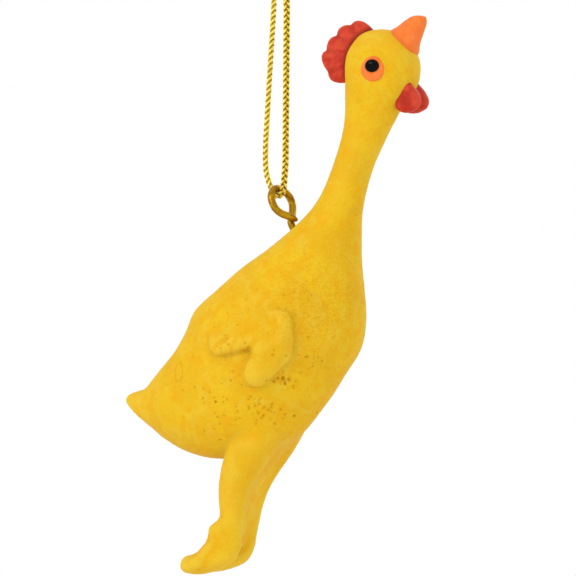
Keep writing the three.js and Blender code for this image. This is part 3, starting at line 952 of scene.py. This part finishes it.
def refine_near(obj, centres, reach, levels):
    """Halve the edges near some points, so that small marks there have a real shape."""
    for level in range(levels):
        with editing(obj.data) as bm:
            tree = kd_tree([vertex.co for vertex in bm.verts])
            near = set()
            for centre, distance in zip(centres, reach):
                near.update(i for _, i, _ in tree.find_range(Vector(centre), distance * (1 - 0.25 * level)))
            edges = [e for e in bm.edges if e.verts[0].index in near and e.verts[1].index in near]
            bmesh.ops.subdivide_edges(bm, edges=edges, cuts=1, use_grid_fill=True)


def cavity_of(obj, rounds):
    """How hollow (positive) or proud (negative) the surface is at each vertex, in millimetres."""
    before, normal = vertices_of(obj.data), normals_of(obj.data)
    relax(obj, rounds, steps=(0.5, 0.5))
    hollow = ((vertices_of(obj.data) - before) * normal).sum(1)
    move_vertices(obj.data, before)
    return hollow


def blend_thighs(clay):
    """Run the thighs into the belly in front, and leave the crease behind them."""
    points = vertices_of(clay.data)
    offset = points - np.array([THIGH_BLEND["x"], 0, THIGH_BLEND["z"]])
    offset[:, 1] = np.abs(points[:, 1]) - THIGH_BLEND["y"]
    thigh = smooth_step(1.35 - np.linalg.norm(offset, axis=1) / THIGH_BLEND["reach"])
    height = points[:, 2]
    between = smooth_step((SHANKS["apart"] - np.abs(points[:, 1])) / SHANKS["soft"])
    between = between * (height < SHANKS["top"]) * (height > SHANKS["foot"])
    weight = np.maximum(thigh, between * SHANKS["weight"])
    relax(clay, THIGH_BLEND["rounds"], steps=(0.5,), weight=weight)


def sculpt_casting():
    """Torso, neck, head, wings and legs as one skin of clay, noting how hollow it is, for the painted shade
    in its creases, and the wash and painted shade in its pits.
    """
    lumps = [loft("torso", BODY, 96, 6), loft("web", WEB, 48, 8)]
    for side in (RIGHT, LEFT):
        lumps.append(loft("leg", LEG, 48, 6, side))
        lumps += toe_rolls(side)
    clay = join("clay", lumps)
    even_out(clay, *CLAY["rough"])
    blend_thighs(clay)
    raise_wings(clay)
    even_out(clay, *CLAY["fine"])
    # The hollows get painted shade in the yellow paint, and what stands out gets a painted highlight.
    set_attribute(clay.data, "hollow", cavity_of(clay, CLAY["cavity"]))
    skin_tree = tree_of(clay)
    pits = scatter_pits(skin_tree)
    x, z = RUMP_MARK["x"], RUMP_MARK["z"]
    centres = [tuple(p[:3]) for p in pits] + [(x, on_flank(skin_tree, x, z, RIGHT), z)]
    refine_near(clay, centres, [p[3] * 2 + 0.25 for p in pits] + [2.3], 2)
    weather(clay, pits)
    return clay


def unevenness(points):
    """Broad lumps, finer ones, and brush wrinkles that follow them."""
    push = np.zeros(len(points))
    for k, p in enumerate(points):
        broad = noise.noise(Vector(p) * BROAD[1])
        fine = noise.noise(Vector(p * FINE[1]) + Vector((broad, 0, broad)) * 2)
        wrinkle = noise.noise(Vector(p * WRINKLE[1] + (fine * 1.2, 0, 0)))
        push[k] = BROAD[0] * broad + FINE[0] * fine + WRINKLE[0] * wrinkle
    return push


def press_pits(points, pits, push, wash_and_shade):
    """Round bowls in the skin, darkened by the wash that settles in them and by painted shade."""
    tree = kd_tree(points)
    for x, y, z, radius, depth in pits:
        for _, k, distance in tree.find_range((x, y, z), radius * 1.8):
            bowl = math.exp(-((distance / radius) ** 2) * 1.6)
            push[k] -= depth * bowl
            # The pit darkens: a wash of paint and painted shade.
            wash_and_shade[k] = min(1, wash_and_shade[k] + PIT["wash_and_shade"] * bowl)


def eye_dip(points):
    """The shallow channel round each eye, deepest above it."""
    ring, socket = EYE["ring"], EYE["socket"]
    from_eye = np.hypot(points[:, 0] - ring["x"], points[:, 2] - ring["z"]) - socket["radius"]
    above = 0.6 + 0.4 * np.clip((points[:, 2] - ring["z"]) / socket["radius"], -1, 1)
    return np.exp(-((from_eye / socket["width"]) ** 2)) * above * (np.abs(points[:, 1]) > 3)


def rump_line(points):
    """The small oval line on the right flank."""
    m = RUMP_MARK
    oval = np.hypot((points[:, 0] - m["x"]) / m["across"], (points[:, 2] - m["z"]) / m["up"])
    return np.exp(-(((oval - 1) * m["mean"] / RUMP_LINE["width"]) ** 2)) * (points[:, 1] < 0)


def grain_of(points):
    """How strong the fine wrinkles are: fully on the breast, and little elsewhere."""
    g = GRAIN
    apart = ((points[:, 0] - g["x"]) / g["across"]) ** 2 + ((points[:, 2] - g["z"]) / g["up"]) ** 2
    return g["least"] + (1 - g["least"]) * np.exp(-apart)


def weather(clay, pits):
    """Push the skin in and out, and note where the paints, the wash and the painted shade lie."""
    points, normal = vertices_of(clay.data), normals_of(clay.data)
    push, wash_and_shade = unevenness(points), np.zeros(len(points))
    press_pits(points, pits, push, wash_and_shade)
    dip, line = eye_dip(points), rump_line(points)
    push -= EYE["socket"]["depth"] * dip
    push -= RUMP_LINE["depth"] * line
    move_vertices(clay.data, points + normal * push[:, None])
    # Painted shade in the dip round each eye.
    set_attribute(clay.data, "hollow", get_attribute(clay.data, "hollow") + 0.05 * dip)
    # The pits and the rump line darken: a wash of paint and painted shade.
    set_attribute(clay.data, "wash_and_shade", np.clip(wash_and_shade + RUMP_LINE["wash_and_shade"] * line, 0, 1))
    set_attribute(clay.data, "grain", grain_of(points))


def cutter(node, grow):
    """A CAD node's volume, a little larger all round, to part the skin along its crease."""
    obj = node_copy("cutter", node)
    even_out(obj, *CUTTER)
    move_vertices(obj.data, vertices_of(obj.data) + normals_of(obj.data) * grow)
    return obj


def boolean(name, obj, operation, *others):
    made = link(bpy.data.objects.new(name, obj.data.copy()))
    for other in others:
        modifier = made.modifiers.new("cut", "BOOLEAN")
        modifier.operation = operation
        modifier.solver = "MANIFOLD"
        modifier.object = other
        bake_modifiers(made)
    return made


def carry_skin(piece, skin, tree, normal, values):
    """Give a piece the uncut skin's normals and paint attributes, so that its seams don't show."""
    mesh = piece.data
    faces = [list(p.vertices) for p in skin.polygons]
    points = vertices_of(skin)
    carried = normals_of(mesh)
    on_skin = np.zeros(len(carried), bool)
    painted = {key: np.zeros(len(carried)) for key in values}
    for k, p in enumerate(vertices_of(mesh)):
        nearest, _, face, distance = tree.find_nearest(Vector(p))
        corners = faces[face]
        closeness = 1 / (np.linalg.norm(points[corners] - np.array(nearest), axis=1) + 1e-6)
        weights = closeness / closeness.sum()
        for key, source in values.items():
            painted[key][k] = weights @ source[corners]
        if distance < SEAM["near"]:
            on_skin[k] = True
            n = weights @ normal[corners]
            carried[k] = n / np.linalg.norm(n)
    for key, source in painted.items():
        set_attribute(mesh, key, source)
    loops = []
    for face in mesh.polygons:
        facing = abs(np.dot(carried[face.vertices[0]], np.array(face.normal)))
        on = facing > SEAM["facing"] and all(on_skin[v] for v in face.vertices)
        loops += [carried[v] if on else np.array(face.normal) for v in face.vertices]
    mesh.normals_split_custom_set(np.array(loops).tolist())


def make_casting(material):
    """The skin of clay, parted into the wings, the legs and the rest."""
    clay = sculpt_casting()
    skin = clay.data
    tree, normal = tree_of(clay), normals_of(skin)
    values = {key: get_attribute(skin, key) for key in ("wash_and_shade", "hollow", "grain")}
    nodes = {f"{part}_{side}": grow for part, grow in PARTING.items() for side in ("right", "left")}
    cutters = {node: cutter(node, grow) for node, grow in nodes.items()}
    pieces = [(boolean(f"{node}_skin", clay, "INTERSECT", shape), node) for node, shape in cutters.items()]
    pieces.append((boolean("body_skin", clay, "DIFFERENCE", *cutters.values()), "body_casting"))
    for piece, node in pieces:
        carry_skin(piece, skin, tree, normal, values)
        place(piece, "figure", "yellow_paint", material, node)
    for obj in [clay, *cutters.values()]:
        bpy.data.objects.remove(obj)


def yellow_paint():
    """Cloudy hand-brushed yellow, with painted shade in the creases and the wrinkles' grooves, wash and
    painted shade in the pits, and paler rubbed paint with a painted highlight on what stands out.
    """
    s = Shader("yellow_paint")
    wash_and_shade, hollow, grain = s.attribute("wash_and_shade"), s.attribute("hollow"), s.attribute("grain")
    patches = s.noise(0.10, 3, 0.8)
    cloud = s.noise(0.35, 4, 0.5)
    fine = s.noise(1.7, 2, 0.3)
    chalk = s.noise(0.22, 4, 1.2, s.mapped(s.place, (1.3, 1.0, 0.7), (0.4, 0.9, 0.2)))
    brush = s.noise(1.0, 3, 0.6, s.mapped(s.place, (0.8, 0.8, 2.2), (0.0, 0.5, 0.0)))
    wrinkle = s.noise(0.8, 1, 1.6, s.mapped(s.place, (1.0, 1.0, 1.5), (0.0, 0.3, 0.0)))
    colour = s.coats(
        YELLOW["base"],
        (s.spread(patches, 0.36, 0.64), YELLOW["clear"]),
        (s.spread(cloud, 0.46, 0.66, 0, 0.65), YELLOW["warm"]),
        (s.spread(chalk, 0.50, 0.70, 0, 0.55), YELLOW["chalk"]),
        (s.spread(fine, 0.48, 0.78, 0, 0.4), YELLOW["speck"]),
        (s.spread(brush, 0.52, 0.78, 0, 0.35), YELLOW["stroke"]),
        # Paler on what stands out: rubbed paint and a painted highlight.
        (s.math("MULTIPLY", s.spread(hollow, -0.02, -0.10, 0, 0.8), cloud), YELLOW["rubbed_and_highlight"]),
        # Painted shade in the creases.
        (s.spread(hollow, 0.02, 0.20, 0, 0.7), YELLOW["crease"]),
        # Darker in the pits and the rump line: wash and painted shade.
        (wash_and_shade, YELLOW["pit"]),
        # Painted shade in the grooves of the wrinkle bump, on the breast most.
        (s.math("MULTIPLY", grain, s.spread(wrinkle, 0.52, 0.32, 0, 0.5)), YELLOW["wrinkle"]),
    )
    rough = s.spread(cloud, 0.3, 0.7, 0.6, 0.78)
    wrinkle, brush = s.math("MULTIPLY", wrinkle, grain), s.math("MULTIPLY", brush, grain)
    normal = s.bump(fine, 0.03, 0.7, s.bump(brush, 0.10, 0.7, s.bump(wrinkle, 0.36, 0.8)))
    return s.finish(Base_Color=colour, Roughness=rough, Specular_IOR_Level=0.10, Normal=normal)


# -------- head trim


def notch_pinch(flat):
    """How deep each point lies in a groove that runs from a notch of the comb towards the head."""
    pinch = np.zeros(len(flat))
    for notch in COMB_NOTCHES:
        toward = np.subtract(HEAD, notch)
        toward /= np.linalg.norm(toward)
        offset = flat - notch
        ahead = offset @ toward
        aside = np.abs(offset @ np.array([-toward[1], toward[0]]))
        pinch = np.maximum(pinch, np.exp(-((aside / 0.5) ** 2) - (np.clip(ahead, 0, None) / 2.4) ** 2))
    return pinch


def from_head(flat):
    return np.linalg.norm(flat - HEAD, axis=1)


def mark(obj, wash_and_shade, rim=0.0):
    """Note where the trim paint gets painted shade and the painted highlight along its rim."""
    for name, values in (("wash_and_shade", wash_and_shade), ("rim", rim)):
        set_attribute(obj.data, name, np.broadcast_to(values, (len(obj.data.vertices),)))


def make_comb(material):
    """The blade: thin at its rim, full in its lobes, and pinched between them."""
    comb = node_copy("comb_blade", "comb")
    even_out(comb, COMB["voxel"], COMB["relax"])
    points, normal = vertices_of(comb.data), normals_of(comb.data)
    flat = points[:, [0, 2]]
    edge = (from_head(flat) > COMB["rim"]) & (np.abs(normal[:, 1]) < 0.5)
    rim = kd_tree([(x, z, 0) for x, z in flat[edge]])
    inward = np.array([rim.find((x, z, 0))[2] for x, z in flat])
    fullness = 0.5 + 0.75 * np.sin(np.clip(inward / 1.6, 0, 1) * np.pi / 2)
    pinch = notch_pinch(flat)
    points[:, 1] *= fullness * (1 - 0.28 * pinch)
    for k, p in enumerate(points):
        points[k, 1] += 0.10 * noise.noise(Vector((p[0] * 0.35, 3.0, p[2] * 0.35)))
        points[k] += normal[k] * 0.03 * noise.noise(Vector(p) * 1.3)
    move_vertices(comb.data, points)
    # Painted shade at the comb's root and in the grooves between its lobes.
    root = np.clip(1 - (from_head(flat) - COMB["root"]) / 1.1, 0, 1)
    # The comb's rim gets a painted highlight.
    mark(comb, np.clip(pinch * 0.3 + root * 0.8, 0, 1), np.clip(1 - inward / 0.7, 0, 1))
    return place(comb, "figure", "red_paint", material, "comb")


def ripple(obj, depth, scale):
    """Hand-made unevenness."""
    points, normal = vertices_of(obj.data), normals_of(obj.data)
    push = [noise.noise(Vector(p) * scale) for p in points]
    move_vertices(obj.data, points + normal * np.array(push)[:, None] * depth)


def make_beak(material):
    beak = loft("beak_horn", BEAK, 72, 12)
    relax(beak, 2)
    ripple(beak, 0.12, 0.5)
    ripple(beak, 0.03, 1.6)
    # Painted shade where the beak meets the head.
    root = from_head(vertices_of(beak.data)[:, [0, 2]]) - BEAK_ROOT
    mark(beak, np.clip(1 - root / 0.5, 0, 1) * 0.2)
    return place(beak, "figure", "orange_paint", material, "beak")


def make_wattle(name, side, material):
    """A rounded flap that hangs from the chin, a little hollow on its outer face."""
    face = WATTLE_FACE
    wattle = loft(f"wattle_flap_{name}", WATTLE, 56, 12, side)
    points = vertices_of(wattle.data)
    offset = (points[:, [0, 2]] - (face["x"], face["z"])) / (face["across"], face["up"])
    hollow = np.exp(-((offset**2).sum(1)) * 2.2)
    outer = (points[:, 1] - side * face["y"]) * side
    points[:, 1] -= side * np.clip(outer, 0, None) * 0.45 * hollow
    move_vertices(wattle.data, points)
    relax(wattle, 2)
    ripple(wattle, 0.10, 0.6)
    # A painted highlight towards the wattle's rim.
    edge = np.clip(np.sqrt((offset**2).sum(1)) - 0.72, 0, 0.3) / 0.3
    # Painted shade in the hollow of the face and at the top, under the chin.
    mark(wattle, hollow * 0.25 + np.clip(points[:, 2] - face["chin"], 0, 1), edge)
    return place(wattle, "figure", "red_paint", material, f"wattle_{name}")


def lathe_on_head(name, spec, side, sides):
    """A low dome standing on the side of the head."""
    angle = circle(sides)
    x, z = spec["across"] * np.cos(angle), spec["up"] * np.sin(angle)
    plane = EYE["plane"] + spec["lift"]
    profile = dome_profile(spec["crown"], spec["seat"])
    rings = [
        np.stack([spec["x"] + x * r, np.full(sides, side * (plane + h)), spec["z"] + z * r], 1)
        for r, h in profile
    ]
    ends = [(spec["x"], side * (plane + profile[k][1]), spec["z"]) for k in (0, -1)]
    return face_out(new_object(name, np.vstack([*rings, ends]), grid_faces(len(rings), sides)))


def dome_profile(crown, seat):
    """(part of the radius, height), from the seat's foot, up its side and over the crown."""
    profile = [(0.2, -seat), (0.6, -seat), (0.9, -seat), (1, -seat + 0.15), (1, -0.12)]
    for a in np.linspace(0, np.pi / 2, 22)[1:-1]:
        profile.append((math.cos(a) ** 0.8, crown * math.sin(a)))
    return profile


def make_eye(name, side, orange, black):
    pupil = EYE["pupil"]
    disc = lathe_on_head(f"eye_disc_{name}", EYE["ring"], side, 64)
    ripple(disc, 0.10, 0.55)
    points = vertices_of(disc.data)
    # Painted shade in a ring where the pupil sits on the disc.
    near = np.hypot(points[:, 0] - pupil["x"], points[:, 2] - pupil["z"]) / pupil["across"]
    mark(disc, np.clip(1 - abs(near - 1) / 0.12, 0, 1) * 0.4)
    place(disc, "figure", "orange_paint", orange, f"eye_ring_{name}")
    bead = lathe_on_head(f"pupil_bead_{name}", pupil, side, 48)
    place(bead, "figure", "black_gloss", black, f"pupil_{name}")


def trim_paint(name, paint, rough):
    """Satin paint with brushed streaks, painted shade in its creases and at its roots, and a painted
    highlight along its rims.
    """
    s = Shader(name)
    wash_and_shade, rim = s.attribute("wash_and_shade"), s.attribute("rim")
    cloud = s.noise(0.5, 4, 0.6)
    streak = s.noise(1.1, 3, 0.4, s.mapped(s.place, (1.8, 1.8, 0.5), (0, 0.35, 0)))
    colour = s.coats(
        paint["base"],
        (s.spread(cloud, 0.35, 0.7), paint["light"]),
        (s.spread(streak, 0.5, 0.75, 0, 0.45), paint["light"]),
        # A painted highlight along the rims.
        (s.math("MULTIPLY", rim, 0.4), paint["light"]),
        # Painted shade in the creases and at the roots.
        (wash_and_shade, paint["deep"]),
    )
    roughness = s.spread(cloud, 0.3, 0.7, rough - 0.06, rough + 0.1)
    normal = s.bump(streak, 0.07, 0.4, s.bump(s.noise(2.4, 3), 0.04, 0.35))
    return s.finish(Base_Color=colour, Roughness=roughness, Specular_IOR_Level=0.09, Normal=normal)


def black_gloss():
    s = Shader("black_gloss")
    cloud = s.noise(0.9, 3)
    rough = s.spread(cloud, 0.3, 0.7, 0.06, 0.16)
    return s.finish(Base_Color=s.mix(cloud, *BLACK), Roughness=rough, Specular_IOR_Level=0.06)


# -------- assembly

make_camera()
make_stage()

gold = gold_thread()
cord, cord_path, cord_length = make_cord(gold)
knot = make_knot(gold)

make_screw_eye(brass())
make_casting(yellow_paint())

red = trim_paint("red_paint", RED, 0.46)
orange = trim_paint("orange_paint", ORANGE, 0.5)
black = black_gloss()
make_comb(red)
make_beak(orange)
for side_name, side_sign in (("right", RIGHT), ("left", LEFT)):
    make_wattle(side_name, side_sign, red)
    make_eye(side_name, side_sign, orange, black)
